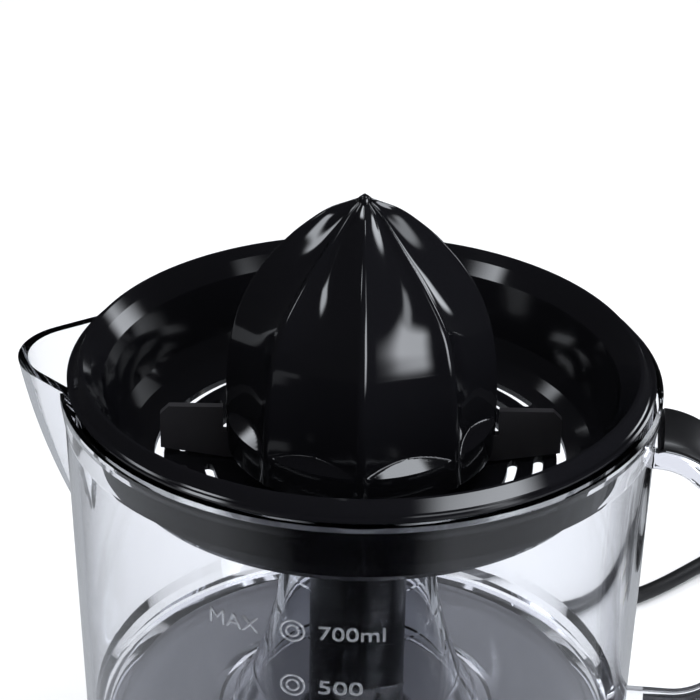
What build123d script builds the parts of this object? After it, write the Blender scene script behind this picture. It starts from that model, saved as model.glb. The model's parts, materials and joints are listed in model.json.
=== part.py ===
"""Citrus press juicer: motor base, clear jug, strainer, sweeper and two reamer cones.

Frame: +Z up, origin on the spindle axis at the table, +X to the handle, -X to the spout,
-Y to the front. Millimetres.
"""

import os
from math import acos, cos, degrees, hypot, pi, radians, sin, tan

from build123d import *

os.makedirs("parts", exist_ok=True)

# ---------------------------------------------------------------- driving dimensions
flange_z = 165.0  # strainer flange plane above the table
wall = 2.3  # jug and housing wall
play = 0.05  # radial running clearance of a shaft in its bush
gap = 0.3  # gap between parts that lift off each other

press_travel = 1.5  # how far the cone pushes the shaft down to close the switch

foot_height = 3.0
cover_thickness = 2.5
cover_top = foot_height + cover_thickness
base_top = 62.0
base_top_radius = 70.5
base_foot_radius = 72.5
deck_thickness = 2.5
tower_radius = 12.4
tower_bore = 9.5
tower_top = 125.0

shaft_radius = 4.0
bush_radius = 6.5
shaft_bottom = 21.05
shaft_hex_bottom = 140.0
shaft_top = 176.0

tooth_module = 0.8
pressure_angle = radians(25)
addendum = 0.8 * tooth_module
dedendum = 1.05 * tooth_module
backlash = 0.10
pinion_teeth = 10
idler_teeth = 50
output_teeth = 60
idler_distance = tooth_module * (pinion_teeth + output_teeth) / 2
rotor_distance = tooth_module * (pinion_teeth + idler_teeth) / 2
idler_bearing = 60.0  # direction from the spindle to the idler, degrees
rotor_bearing = -10.0  # direction from the idler to the rotor, degrees
idler_x = idler_distance * cos(radians(idler_bearing))
idler_y = idler_distance * sin(radians(idler_bearing))
rotor_x = idler_x + rotor_distance * cos(radians(rotor_bearing))
rotor_y = idler_y + rotor_distance * sin(radians(rotor_bearing))
small_shaft = 1.5  # radius of the rotor shaft and of the idler axle
idler_gear_z = 38.6
idler_pinion_z = 42.6
idler_top_z = 51.4
output_gear_z = 44.6
output_gear_width = 5.0
gear_plate_z = 52.0
gear_plate_thickness = 2.0

core_bottom = 16.0
core_top = 32.0
core_half_width = 18.0
leg_width = 9.0
rotor_bore = 9.4

jug_foot_z = base_top + 0.2
jug_floor_z = 66.0
jug_foot_radius = 69.6
jug_rim_z = 163.9
jug_rim_radius = 74.2
sleeve_top = 132.0
sleeve_radius = 17.3
spout_reach = 86.0
spout_middle_z = 143.0
spout_low_z = 119.0
spout_side_turn = 129.3  # where the round tip meets the straight sides, degrees
arm_width = 20.0
arm_top = 153.0
arm_bottom = 64.2
arm_thickness = 6.0
arm_reach = 108.0
grip_thickness = 1.4
grip_start = 75.5

bowl_floor = 143.4
bowl_thickness = 1.8
collar_radius = 9.0
dish_z = 138.9  # the floor's lowest part, round the collar
dish_radius = 31.0
dish_rim_z = 141.3  # where the slope of the floor ends
dish_rim_radius = 51.5
slot_rings = ((38.2, 195.0), (44.6, 196.5), (50.4, 352.0))  # radius, direction where a slot starts
slot_width = 2.4
slots_per_ring = 8
slot_arc = 33.0

cone_yaw = 6.0  # how far the cones stand turned from the jug's axis, degrees
cone_skirt_z = 144.6
small_skirt_z = 148.6
wing_inner = 34.4
wing_outer = 50.0
wing_top = 153.8
wing_thickness = 2.0
wiper_gap = 0.8  # between the sweeper and the strainer's floor
arm_low_top = 147.0  # top of the sweeper's arms where they pass under the cones

cord_radius = 2.5
cord_exit_z = 14.0
relief_end_y = 98.0
coil_centre = (141.9, 189.2)
coil_inner = 20.0
coil_outer = 35.5
coil_height = 10.4

# ---------------------------------------------------------------- helpers


def polar(radius, angle):
    """A point of the plan at a radius and a direction in degrees."""
    return (radius * cos(radians(angle)), radius * sin(radians(angle)))


def involute(angle):
    """The involute function of a pressure angle."""
    return tan(angle) - angle


def gear_outline(teeth, turn, centre_x=0.0, centre_y=0.0):
    """The closed outline of a spur gear, with a tooth centred on the direction turn (degrees)."""
    pitch_radius = tooth_module * teeth / 2
    base_radius = pitch_radius * cos(pressure_angle)
    root_radius = pitch_radius - dedendum
    tip_radius = pitch_radius + addendum
    half_pitch = pi / (2 * teeth) + involute(pressure_angle) - backlash / (4 * pitch_radius)

    def half_tooth(radius):
        if radius <= base_radius:
            return half_pitch
        return half_pitch - involute(acos(base_radius / radius))

    flank = [root_radius, max(base_radius, root_radius + 0.3), pitch_radius, tip_radius]
    points = []
    for tooth in range(teeth):
        centre = radians(turn) + tooth * 2 * pi / teeth
        for radius in flank:
            angle = centre - half_tooth(radius)
            points.append((centre_x + radius * cos(angle), centre_y + radius * sin(angle)))
        for radius in reversed(flank):
            angle = centre + half_tooth(radius)
            points.append((centre_x + radius * cos(angle), centre_y + radius * sin(angle)))
    return points


def fluted_outline(main, second, depth, crest):
    """Draws a closed eight-lobed outline: ribs at radius main and second, flutes depth deep."""
    for rib in range(8):
        here, there = (main, second) if rib % 2 == 0 else (second, main)
        angle = cone_yaw + rib * 45
        half = degrees(crest / (2 * here))
        other_half = degrees(crest / (2 * there))
        start = polar(here, angle - half)
        end = polar(here, angle + half)
        across = polar(there, angle + 45 - other_half)
        hollow = polar((here + there) / 2 - depth, angle + 22.5)
        ThreePointArc(start, polar(here, angle), end)
        ThreePointArc(end, hollow, across)


def corner_radii(points):
    """Radii of a cord route's corners: 0.45 of the shorter run over the tangent of half the turn."""
    radii = []
    for before, here, after in zip(points, points[1:], points[2:]):
        first = Vector(*here) - Vector(*before)
        second = Vector(*after) - Vector(*here)
        shorter = min(first.length, second.length)
        radii.append(0.45 * shorter / tan(radians(first.get_angle(second)) / 2))
    return radii


def write(piece, name):
    """Labels a finished piece and writes its STEP file."""
    piece.part.label = name
    export_step(piece.part, f"parts/{name}.step")


# ---------------------------------------------------------------- motor base: casing

boss_spots = [polar(60, angle) for angle in (45, 135, 225, 315)]
foot_spots = [polar(58, angle) for angle in (0, 90, 180, 270)]
plate_left, plate_right, plate_front, plate_back = -30.0, 34.0, -22.0, 40.0
plate_spots = [
    (x, y)
    for x in (plate_left + 5, plate_right - 5)
    for y in (plate_front + 5, plate_back - 5)
]
core_front = rotor_y - 48.0
core_back = rotor_y + 12.0
mount_spots = [
    (rotor_x + side * 14, y)
    for side in (-1, 1)
    for y in (core_front + 3.5, core_back - 2.8)
]
screw_radius = 1.5

with BuildPart() as base_housing:
    with BuildSketch(Plane.XZ):
        with BuildLine():
            Polyline(
                (base_foot_radius - wall, foot_height),
                (base_foot_radius, foot_height),
                (base_top_radius + 0.3, base_top - 5),
                (base_top_radius - 2.2, base_top),
                (tower_radius + 4, base_top),
                (tower_radius, base_top + 4),
                (tower_radius, tower_top - 1.2),
                (tower_radius - 1.2, tower_top),
                (bush_radius, tower_top),
                (bush_radius, tower_top - 8),
                (tower_bore, tower_top - 8),
                (tower_bore, base_top - deck_thickness),
                (base_top_radius - wall, base_top - deck_thickness),
                close=True,
            )
        make_face()
    revolve(axis=Axis.Z)
    with BuildSketch(Plane.XY.offset(cover_top)):
        with Locations(*boss_spots):
            Circle(4.2)
    extrude(amount=base_top - deck_thickness - cover_top + 0.5)
    with BuildSketch(Plane.XY.offset(gear_plate_z + gear_plate_thickness)):
        with Locations(*plate_spots):
            Circle(3.5)
    extrude(amount=base_top - deck_thickness - gear_plate_z - gear_plate_thickness + 0.5)
    with BuildSketch(Plane.XY.offset(cover_top)):
        with Locations(*boss_spots):
            Circle(screw_radius)
    extrude(amount=18, mode=Mode.SUBTRACT)
    with BuildSketch(Plane.XY.offset(gear_plate_z)):
        with Locations(*plate_spots):
            Circle(screw_radius)
    extrude(amount=7, mode=Mode.SUBTRACT)
    with BuildSketch(Plane.XZ.offset(-60)):
        with Locations((0, cord_exit_z)):
            Circle(5.0)
    extrude(amount=-20, mode=Mode.SUBTRACT)
write(base_housing, "base_housing")

switch_x = -20.0
switch_length = 19.8
switch_width = 6.4
switch_top = 15.5
spring_seat = cover_top + 2.0
cup_bottom = 18.0
clamp_y = 49.5

with BuildPart() as base_cover:
    with BuildSketch(Plane.XY.offset(foot_height)):
        Circle(base_foot_radius - wall - 0.3)
    extrude(amount=cover_thickness)
    with BuildSketch(Plane.XY.offset(cover_top)):
        with Locations(*mount_spots):
            Circle(3.0)
    extrude(amount=core_bottom - cover_top)
    with BuildSketch(Plane.XY.offset(cover_top)):
        Circle(7.0)
    extrude(amount=spring_seat - cover_top)
    with BuildSketch(Plane.XY.offset(spring_seat)):
        Circle(3.0)
    extrude(amount=8.0)
    with BuildSketch(Plane.XY.offset(cover_top)):
        with Locations((switch_x, switch_width / 2 + 0.9), (switch_x, -switch_width / 2 - 0.9)):
            Rectangle(switch_length, 1.8)
    extrude(amount=6.0)
    with BuildSketch(Plane.XY.offset(cover_top)):
        with Locations((-9, clamp_y), (9, clamp_y)):
            Circle(3.2)
    extrude(amount=cord_exit_z + cord_radius - cover_top)
    with BuildSketch(Plane.XY.offset(cover_top)):
        with Locations((0, clamp_y)):
            Rectangle(8, 8)
    extrude(amount=cord_exit_z - cord_radius - cover_top)
    with BuildSketch(Plane.XY.offset(cover_top + 2)):
        with Locations((-9, clamp_y), (9, clamp_y), *mount_spots):
            Circle(screw_radius)
    extrude(amount=12, mode=Mode.SUBTRACT)
    with BuildSketch(Plane.XY.offset(foot_height)):
        with Locations(*boss_spots):
            Circle(3.6)
    extrude(amount=1.3, mode=Mode.SUBTRACT)
    with BuildSketch(Plane.XY.offset(foot_height)):
        with Locations(*boss_spots):
            Circle(1.7)
        with Locations(*foot_spots):
            Circle(2.6)
        with Locations(*[(-42, y) for y in (-18, -10, -2, 6, 14)]):
            SlotOverall(18, 2.4)
    extrude(amount=cover_thickness, mode=Mode.SUBTRACT)
write(base_cover, "base_cover")

with BuildPart() as rubber_feet:
    with BuildSketch():
        with Locations((0, 0), *foot_spots):
            Circle(7.0)
    extrude(amount=foot_height)
    with BuildSketch(Plane.XY.offset(foot_height)):
        with Locations(*foot_spots):
            Circle(2.6)
    extrude(amount=cover_thickness)
    with BuildSketch(Plane.XY.offset(cover_top)):
        with Locations(*foot_spots):
            Circle(3.6)
    extrude(amount=1.5, taper=20)
write(rubber_feet, "rubber_feet")


def screw_group(spots, head_z, head_radius, head_height, length, up):
    """Screws along Z: heads at head_z, shanks running up or down from the head."""
    with BuildPart() as screws:
        with BuildSketch(Plane.XY.offset(head_z)):
            with Locations(*spots):
                Circle(head_radius)
        extrude(amount=head_height)
        shank_z = head_z + head_height if up else head_z - length
        with BuildSketch(Plane.XY.offset(shank_z)):
            with Locations(*spots):
                Circle(screw_radius)
        extrude(amount=length)
        recess_z = head_z if up else head_z + head_height - 0.7
        with BuildSketch(Plane.XY.offset(recess_z)):
            with Locations(*spots):
                Rectangle(head_radius * 1.1, 0.7)
                Rectangle(0.7, head_radius * 1.1)
        extrude(amount=0.7, mode=Mode.SUBTRACT)
    return screws


cover_screws = screw_group(boss_spots, foot_height + 0.2, 3.3, 1.1, 17.0, True)
write(cover_screws, "cover_screws")

# ---------------------------------------------------------------- motor base: motor

with BuildPart() as motor_core:
    with BuildSketch(Plane.XY.offset(core_bottom)):
        with Locations((rotor_x, (core_front + core_back) / 2)):
            Rectangle(2 * core_half_width, core_back - core_front)
        with Locations((rotor_x, core_front + leg_width + 14)):
            Rectangle(2 * (core_half_width - leg_width), 28, mode=Mode.SUBTRACT)
        with Locations((rotor_x, rotor_y)):
            Circle(rotor_bore, mode=Mode.SUBTRACT)
            Rectangle(1.6, 40, mode=Mode.SUBTRACT)
        with Locations((rotor_x, core_front + leg_width / 2)):
            Rectangle(2 * core_half_width, leg_width)
        with Locations(*mount_spots, (rotor_x - 13.5, rotor_y), (rotor_x + 13.5, rotor_y)):
            Circle(screw_radius, mode=Mode.SUBTRACT)
    extrude(amount=core_top - core_bottom)
write(motor_core, "motor_core")

coil_y = core_front + leg_width + 13.0
leg_centres = [rotor_x - core_half_width + leg_width / 2, rotor_x + core_half_width - leg_width / 2]

with BuildPart() as motor_coils:
    with BuildSketch(Plane.XZ.offset(-coil_y + 10)):
        for leg_x in leg_centres:
            with Locations((leg_x, (core_bottom + core_top) / 2)):
                RectangleRounded(leg_width + 8, core_top - core_bottom + 8, 3)
                Rectangle(leg_width + 0.2, core_top - core_bottom + 0.2, mode=Mode.SUBTRACT)
    extrude(amount=-20)
write(motor_coils, "motor_coils")

lower_bracket_z = 11.0
upper_bracket_z = 35.5
bracket_thickness = 1.5
lower_bracket_top = lower_bracket_z + bracket_thickness
bracket_spots = [(rotor_x - 13.5, rotor_y), (rotor_x + 13.5, rotor_y)]

with BuildPart() as motor_brackets:
    for plate_z, pillar_z, pillar_height in (
        (lower_bracket_z, lower_bracket_top, core_bottom - lower_bracket_top),
        (upper_bracket_z, core_top, upper_bracket_z - core_top),
    ):
        with BuildSketch(Plane.XY.offset(plate_z)):
            with Locations((rotor_x, rotor_y)):
                SlotOverall(35, 10)
            if plate_z == upper_bracket_z:
                with Locations(Location(((idler_x + rotor_x) / 2, (idler_y + rotor_y) / 2), rotor_bearing)):
                    SlotCenterToCenter(rotor_distance, 9)
                with Locations((idler_x, idler_y)):
                    Circle(small_shaft, mode=Mode.SUBTRACT)
            with Locations((rotor_x, rotor_y)):
                Circle(3.5, mode=Mode.SUBTRACT)
            with Locations(*bracket_spots):
                Circle(screw_radius, mode=Mode.SUBTRACT)
        extrude(amount=bracket_thickness)
        with BuildSketch(Plane.XY.offset(pillar_z)):
            with Locations(*bracket_spots):
                Circle(3.0)
                Circle(screw_radius, mode=Mode.SUBTRACT)
        extrude(amount=pillar_height)
write(motor_brackets, "motor_brackets")

with BuildPart() as rotor_bushes:
    for bush_z in (lower_bracket_z - 1, upper_bracket_z - 1.3):
        with BuildSketch(Plane.XY.offset(bush_z)):
            with Locations((rotor_x, rotor_y)):
                Circle(3.5)
                Circle(small_shaft + play, mode=Mode.SUBTRACT)
        extrude(amount=3.8)
write(rotor_bushes, "rotor_bushes")

bracket_length = upper_bracket_z + bracket_thickness - lower_bracket_z + 1.5
bracket_screws = screw_group(
    bracket_spots, upper_bracket_z + bracket_thickness, 2.8, 1.4, bracket_length, False
)
write(bracket_screws, "bracket_screws")
motor_screws = screw_group(mount_spots, core_top, 2.8, 1.6, core_top - cover_top - 3.0, False)
write(motor_screws, "motor_screws")

with BuildPart() as rotor_magnet:
    with BuildSketch(Plane.XY.offset(core_bottom - 1.0)):
        with Locations((rotor_x, rotor_y)):
            Circle(rotor_bore - 0.8)
            Circle(small_shaft, mode=Mode.SUBTRACT)
    extrude(amount=core_top - core_bottom + 2.0)
write(rotor_magnet, "rotor_magnet")

pinion_z = idler_gear_z
pinion_height = 5.4
with BuildPart() as rotor_shaft:
    with BuildSketch(Plane.XY.offset(lower_bracket_z - 2.5)):
        with Locations((rotor_x, rotor_y)):
            Circle(small_shaft)
    extrude(amount=pinion_z + pinion_height + 0.8 - lower_bracket_z + 2.5)
write(rotor_shaft, "rotor_shaft")

with BuildPart() as motor_pinion:
    with BuildSketch(Plane.XY.offset(pinion_z)):
        with BuildLine():
            turn = rotor_bearing + 180 + 180 / pinion_teeth
            Polyline(*gear_outline(pinion_teeth, turn, rotor_x, rotor_y), close=True)
        make_face()
        with Locations((rotor_x, rotor_y)):
            Circle(small_shaft, mode=Mode.SUBTRACT)
    extrude(amount=pinion_height - 0.2)
write(motor_pinion, "motor_pinion")

# ---------------------------------------------------------------- motor base: gears and shaft

with BuildPart() as gear_plate:
    with BuildSketch(Plane.XY.offset(gear_plate_z)):
        with Locations(((plate_left + plate_right) / 2, (plate_front + plate_back) / 2)):
            RectangleRounded(plate_right - plate_left, plate_back - plate_front, 5)
        Circle(bush_radius, mode=Mode.SUBTRACT)
        with Locations((idler_x, idler_y), *plate_spots):
            Circle(screw_radius, mode=Mode.SUBTRACT)
        with Locations((-16, 16)):
            Circle(8, mode=Mode.SUBTRACT)
    extrude(amount=gear_plate_thickness)
write(gear_plate, "gear_plate")

gear_plate_screws = screw_group(plate_spots, gear_plate_z - 1.4, 2.8, 1.4, 7.0, True)
write(gear_plate_screws, "gear_plate_screws")

with BuildPart() as idler_axle:
    with BuildSketch(Plane.XY.offset(upper_bracket_z)):
        with Locations((idler_x, idler_y)):
            Circle(small_shaft)
    extrude(amount=gear_plate_z + gear_plate_thickness - upper_bracket_z)
write(idler_axle, "idler_axle")

with BuildPart() as idler_gear:
    for teeth, turn, low, high in (
        (idler_teeth, rotor_bearing, idler_gear_z, idler_pinion_z),
        (pinion_teeth, idler_bearing + 180 + 180 / pinion_teeth, idler_pinion_z, idler_top_z),
    ):
        with BuildSketch(Plane.XY.offset(low)):
            with BuildLine():
                Polyline(*gear_outline(teeth, turn, idler_x, idler_y), close=True)
            make_face()
        extrude(amount=high - low)
    with BuildSketch(Plane.XY.offset(idler_gear_z)):
        with Locations((idler_x, idler_y)):
            Circle(small_shaft + play)
    extrude(amount=idler_top_z - idler_gear_z, mode=Mode.SUBTRACT)
write(idler_gear, "idler_gear")

with BuildPart() as output_gear:
    with BuildSketch(Plane.XY.offset(output_gear_z)):
        with BuildLine():
            Polyline(*gear_outline(output_teeth, idler_bearing), close=True)
        make_face()
        with PolarLocations(14.5, 6, 0):
            Circle(4.0, mode=Mode.SUBTRACT)
    extrude(amount=output_gear_width)
    with BuildSketch(Plane.XY.offset(output_gear_z - 4)):
        Circle(6.5)
    extrude(amount=4)
    with BuildSketch(Plane.XY.offset(output_gear_z - 4)):
        Circle(shaft_radius)
    extrude(amount=output_gear_width + 4, mode=Mode.SUBTRACT)
write(output_gear, "output_gear")

with BuildPart() as drive_shaft:
    with BuildSketch(Plane.XY.offset(shaft_bottom)):
        Circle(shaft_radius)
    extrude(amount=shaft_hex_bottom - shaft_bottom)
    with BuildSketch(Plane.XY.offset(shaft_hex_bottom)):
        RegularPolygon(shaft_radius, 6, rotation=cone_yaw)
    extrude(amount=shaft_top - shaft_hex_bottom)
    chamfer(drive_shaft.edges().group_by(Axis.Z)[-1], 0.8)
write(drive_shaft, "drive_shaft")

for name, low, height in (("lower_bush", gear_plate_z - 1.4, 6.0), ("upper_bush", tower_top - 8, 8.0)):
    with BuildPart() as bush:
        with BuildSketch(Plane.XY.offset(low)):
            Circle(bush_radius)
            Circle(shaft_radius + play, mode=Mode.SUBTRACT)
        extrude(amount=height)
    write(bush, name)

cup_top = shaft_bottom + 5.0
with BuildPart() as thrust_cup:
    with BuildSketch(Plane.XY.offset(cup_bottom)):
        Circle(7.5)
        with Locations((-12, 0)):
            SlotOverall(22, 6)
    extrude(amount=2.0)
    with BuildSketch(Plane.XY.offset(cup_bottom + 2.0)):
        Circle(7.5)
    extrude(amount=cup_top - cup_bottom - 2.0)
    with BuildSketch(Plane.XY.offset(shaft_bottom - play)):
        Circle(shaft_radius + play)
    extrude(amount=cup_top - shaft_bottom + play, mode=Mode.SUBTRACT)
write(thrust_cup, "thrust_cup")

spring_wire = 0.5
spring_radius = 5.0
spring_coils = 4
spring_rise = cup_bottom - spring_seat - 2 * spring_wire
with BuildPart() as press_spring:
    with BuildLine(Plane.XY.offset(spring_seat + spring_wire)):
        spring_path = Helix(spring_rise / spring_coils, spring_rise, spring_radius)
    with BuildSketch(Plane(origin=spring_path @ 0, z_dir=spring_path % 0)):
        Circle(spring_wire)
    sweep(path=spring_path, is_frenet=True)
write(press_spring, "press_spring")

switch_button_x = -19.0
with BuildPart() as micro_switch:
    with BuildSketch(Plane.XY.offset(cover_top)):
        with Locations((switch_x, 0)):
            Rectangle(switch_length, switch_width)
    extrude(amount=switch_top - cover_top)
    with BuildSketch(Plane.XY.offset(switch_top - 7)):
        with Locations((switch_button_x, 0)):
            Circle(1.25 + play)
    extrude(amount=7, mode=Mode.SUBTRACT)
    with BuildSketch(Plane.YZ.offset(switch_x - switch_length / 2)):
        with Locations((0, 8.5), (0, 12.5)):
            Rectangle(4.0, 0.6)
    extrude(amount=-5)
write(micro_switch, "micro_switch")

with BuildPart() as switch_button:
    with BuildSketch(Plane.XY.offset(switch_top - 5)):
        with Locations((switch_button_x, 0)):
            Circle(1.25)
    extrude(amount=cup_bottom - 0.05 - switch_top + 5)
    fillet(switch_button.edges().group_by(Axis.Z)[-1], 0.5)
write(switch_button, "switch_button")

# ---------------------------------------------------------------- jug and handle

spout_levels = [  # height, how far the beak reaches, radius of its rounded tip
    (spout_low_z, 72.2, 4.0),
    (spout_middle_z, 81.2, 11.0),
    (jug_rim_z, spout_reach, 17.0),
]


def spout_section(reach, tip_radius):
    """Draws one level of the beak: a round tip with straight sides that run into the jug's wall."""
    centre = tip_radius - reach
    touch_x = centre + tip_radius * cos(radians(spout_side_turn))
    touch_y = tip_radius * sin(radians(spout_side_turn))
    inner_x = -60.0
    inner_y = touch_y + (inner_x - touch_x) / -tan(radians(spout_side_turn))
    Line((inner_x, inner_y), (touch_x, touch_y))
    ThreePointArc((touch_x, touch_y), (-reach, 0), (touch_x, -touch_y))
    Line((touch_x, -touch_y), (inner_x, -inner_y))
    Line((inner_x, -inner_y), (inner_x, inner_y))


arm_root = 69.5
handle_path = [  # outer line of the clear handle in the XZ plane
    (arm_root, arm_top),
    (81.0, arm_top),
    (arm_reach, arm_top - 24.0),
    (arm_reach, arm_bottom + 24.0),
    (93.0, arm_bottom),
    (arm_root, arm_bottom),
]
handle_bends = [20.0, 26.0, 26.0, 20.0]  # radii of its corners


def parallel(points, amount):
    """An open outline moved sideways, to its right-hand side, corner for corner."""
    sides = []
    for (x1, y1), (x2, y2) in zip(points, points[1:]):
        length = hypot(x2 - x1, y2 - y1)
        sides.append(((y2 - y1) / length, (x1 - x2) / length))
    moved = []
    for index, (x, y) in enumerate(points):
        before = sides[max(index - 1, 0)]
        after = sides[min(index, len(sides) - 1)]
        share = amount / (1 + before[0] * after[0] + before[1] * after[1])
        moved.append((x + share * (before[0] + after[0]), y + share * (before[1] + after[1])))
    return moved


def handle_band(outer_offset, thickness):
    """Draws the closed outline of a band that follows the handle, outer_offset outside its outer line."""
    outer = parallel(handle_path, -outer_offset)
    inner = parallel(handle_path, thickness - outer_offset)
    FilletPolyline(*outer, radius=[bend + outer_offset for bend in handle_bends])
    Line(outer[-1], inner[-1])
    FilletPolyline(*inner[::-1], radius=[bend + outer_offset - thickness for bend in handle_bends[::-1]])
    Line(inner[0], outer[0])


with BuildPart() as jug:
    with BuildSketch(Plane.XZ.offset(-arm_width / 2)):
        with BuildLine():
            handle_band(0, arm_thickness)
        make_face()
    extrude(amount=arm_width)
    fillet(jug.edges().filter_by(Plane.XZ).filter_by(lambda edge: edge.center().X > arm_root + 1), 1.5)
    with BuildSketch(Plane.XZ):
        with BuildLine():
            Polyline(
                (0, jug_foot_z),
                (jug_foot_radius - 0.6, jug_foot_z),
                (jug_foot_radius, jug_foot_z + 0.6),
                (jug_foot_radius + 1.0, jug_foot_z + 6),
                (72.0, 113.0),
                (73.2, 154.0),
                (jug_rim_radius, 161.0),
                (jug_rim_radius, jug_rim_z - 0.8),
                (jug_rim_radius - 0.8, jug_rim_z),
                (0, jug_rim_z),
                close=True,
            )
        make_face()
    revolve(axis=Axis.Z)
    for height, reach, tip_radius in spout_levels:
        with BuildSketch(Plane.XY.offset(height)):
            with BuildLine():
                spout_section(reach, tip_radius)
            make_face()
    loft()
    for height, reach, tip_radius in spout_levels:
        over = 1.0 if height == jug_rim_z else 0.0
        with BuildSketch(Plane.XY.offset(height + over)):
            with BuildLine():
                spout_section(reach - wall, tip_radius - wall + 0.1)
            make_face()
    loft(mode=Mode.SUBTRACT)
    with BuildSketch(Plane.XZ):
        with BuildLine():
            Polyline(
                (sleeve_radius, sleeve_top),
                (sleeve_radius, jug_rim_z + 1),
                (71.4, jug_rim_z + 1),
                (71.4, 161.0),
                (70.9, 154.0),
                (69.7, 113.0),
                (68.6, 73.0),
                (66.5, 68.2),
                (61.5, jug_floor_z),
                (38.0, jug_floor_z),
                (32.0, 68.5),
                (27.4, 76.0),
                (24.2, 86.0),
                (21.4, 97.0),
                (19.4, 110.0),
                close=True,
            )
        make_face()
    revolve(axis=Axis.Z, mode=Mode.SUBTRACT)
    with BuildSketch(Plane.XZ):
        with BuildLine():
            Polyline(
                (0, jug_foot_z),
                (66.2, jug_foot_z),
                (66.2, jug_floor_z - wall),
                (35.5, jug_floor_z - wall),
                (29.8, 68.0),
                (25.2, 75.4),
                (22.0, 85.4),
                (19.2, 96.6),
                (17.2, 109.6),
                (sleeve_radius - wall, sleeve_top),
                (sleeve_radius - wall, jug_rim_z),
                (0, jug_rim_z),
                close=True,
            )
        make_face()
    revolve(axis=Axis.Z, mode=Mode.SUBTRACT)
    with BuildSketch(Plane.XY.offset(sleeve_top)):
        Circle(sleeve_radius + 1)
    extrude(amount=40, mode=Mode.SUBTRACT)
write(jug, "jug")

with BuildPart() as handle_grip:
    with BuildSketch(Plane.XZ.offset(-arm_width / 2)):
        with BuildLine():
            handle_band(grip_thickness, grip_thickness)
        make_face()
        with Locations((grip_start - 15, (arm_top + arm_bottom) / 2)):
            Rectangle(30, arm_top - arm_bottom + 20, mode=Mode.SUBTRACT)
    extrude(amount=arm_width)
    fillet(handle_grip.edges().filter_by(Plane.XZ), 0.5)
write(handle_grip, "handle_grip")

# ---------------------------------------------------------------- strainer and sweeper

with BuildPart() as strainer:
    with BuildSketch(Plane.XZ):
        with BuildLine():
            Polyline(
                (collar_radius - 2, dish_z - bowl_thickness),
                (18.4, dish_z - bowl_thickness),
                (18.4, 127.0),
                (20.2, 127.0),
                (20.2, dish_z - bowl_thickness),
                (dish_radius - 1, dish_z - bowl_thickness),
                (dish_rim_radius - 1, dish_rim_z - bowl_thickness),
                (57.5, bowl_floor - bowl_thickness),
                (60.5, bowl_floor - 0.9),
                (62.2, bowl_floor + 1.2),
                (65.6, flange_z - 2.0),
                (66.4, flange_z - 0.9),
                (72.0, flange_z - 0.9),
                (72.4, flange_z - 0.5),
                (72.4, flange_z + 0.1),
                (72.0, flange_z + 0.5),
                (71.2, flange_z + 0.5),
                (70.9, flange_z + 0.8),
                (69.2, flange_z + 3.5),
                (68.3, flange_z + 3.5),
                (66.4, flange_z + 1.3),
                (63.8, flange_z - 2.0),
                (60.4, bowl_floor + 5.5),
                (57.8, bowl_floor + 1.4),
                (55.2, bowl_floor - 0.7),
                (dish_rim_radius, dish_rim_z),
                (dish_radius, dish_z),
                (collar_radius, dish_z),
                (collar_radius, 151.5),
                (collar_radius - 0.6, 152.0),
                (collar_radius - 2, 152.0),
                close=True,
            )
        make_face()
    revolve(axis=Axis.Z)
    with BuildSketch(Plane.XY.offset(dish_z - bowl_thickness - 0.5)):
        for ring, start in slot_rings:
            for slot in range(slots_per_ring):
                SlotArc(CenterArc((0, 0), ring, start + slot * 360 / slots_per_ring, slot_arc), slot_width)
    extrude(amount=bowl_floor - dish_z + bowl_thickness, mode=Mode.SUBTRACT)
write(strainer, "strainer")

wiper_plane = Plane.XY.rotated((0, 0, cone_yaw))
with BuildPart() as pulp_wiper:
    with BuildSketch(wiper_plane.offset(dish_z + wiper_gap)):
        Circle(12.0)
        Rectangle(2 * wing_inner + 0.4, 2.4)
        Circle(collar_radius + gap, mode=Mode.SUBTRACT)
    extrude(amount=arm_low_top - dish_z - wiper_gap)
    with BuildSketch(wiper_plane.offset(arm_low_top)):
        Circle(12.0)
        Circle(collar_radius + gap, mode=Mode.SUBTRACT)
    extrude(amount=4.0)
    with BuildSketch(Plane.XZ.rotated((0, 0, cone_yaw)).offset(-wing_thickness / 2)):
        for side in (1, -1):
            with BuildLine():
                Polyline(
                    (side * wing_inner, dish_z + wiper_gap),
                    (side * wing_outer, dish_rim_z + wiper_gap),
                    (side * wing_outer, wing_top - 2.2),
                    (side * (wing_outer - 2.2), wing_top),
                    (side * wing_inner, wing_top),
                    close=True,
                )
            make_face()
    extrude(amount=wing_thickness)
write(pulp_wiper, "pulp_wiper")

# ---------------------------------------------------------------- reamer cones

# heights above the flange plane, radii of the main and the lower ribs, depth of the flutes
large_levels = [
    (cone_skirt_z - flange_z, 33.6, 32.8, 4.0),
    (-9.0, 33.6, 32.6, 4.0),
    (0.0, 33.3, 31.9, 3.9),
    (7.0, 32.5, 31.1, 3.8),
    (13.1, 31.2, 29.9, 3.7),
    (19.9, 28.9, 27.4, 3.5),
    (28.2, 24.2, 20.8, 2.9),
    (35.7, 17.9, 13.2, 2.2),
    (40.8, 12.0, 8.0, 1.5),
    (44.2, 6.0, 3.8, 0.6),
]
small_levels = [
    (small_skirt_z - flange_z, 23.0, 23.0, 2.6),
    (0.0, 20.8, 20.8, 2.4),
    (12.0, 16.6, 16.6, 2.0),
    (20.0, 11.6, 11.2, 1.5),
    (25.5, 6.2, 5.6, 0.8),
]
notch_top = arm_low_top + press_travel + 0.4

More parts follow.
